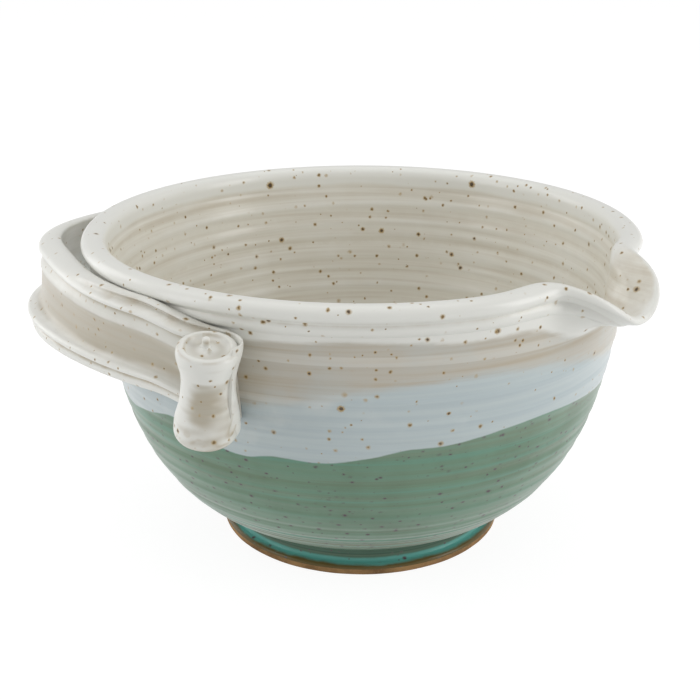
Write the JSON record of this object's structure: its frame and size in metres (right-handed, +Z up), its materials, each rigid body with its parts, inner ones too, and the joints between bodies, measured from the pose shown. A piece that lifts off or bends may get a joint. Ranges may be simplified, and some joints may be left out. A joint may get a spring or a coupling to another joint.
{
  "type": "batter bowl",
  "caption": "Footed stoneware mixing bowl with a rolled lip, a pulled pouring spout and a strap handle with scrolled ends, glazed in bands.",
  "frame": {"origin": "on the bowl's axis, in the plane of the foot ring's flat face", "axes": "+Z up along the bowl's axis, -X towards the handle (its middle lies 6.5 degrees from it), the spout between +X and -Y"},
  "size_m": [0.26, 0.2623, 0.1338],
  "materials": {
    "clay": "bare fired stoneware, matt",
    "liner": "satin off-white glaze with iron specks",
    "cream": "satin cream glaze with iron specks",
    "blue": "satin pale blue glaze, lightly streaked",
    "green": "satin grey-green glaze with fine brown and turquoise rings"
  },
  "bodies": {
    "root": {"bowl_body": "clay", "foot_ring": "clay", "green_glaze": "green", "blue_glaze": "blue", "cream_glaze": "cream", "liner_glaze": "liner", "handle_strap": "cream", "front_scroll": "cream", "rear_scroll": "cream", "front_scroll_button": "cream", "rear_scroll_button": "cream", "front_slip_joint": "cream", "rear_slip_joint": "cream"}
  },
  "joints": []
}
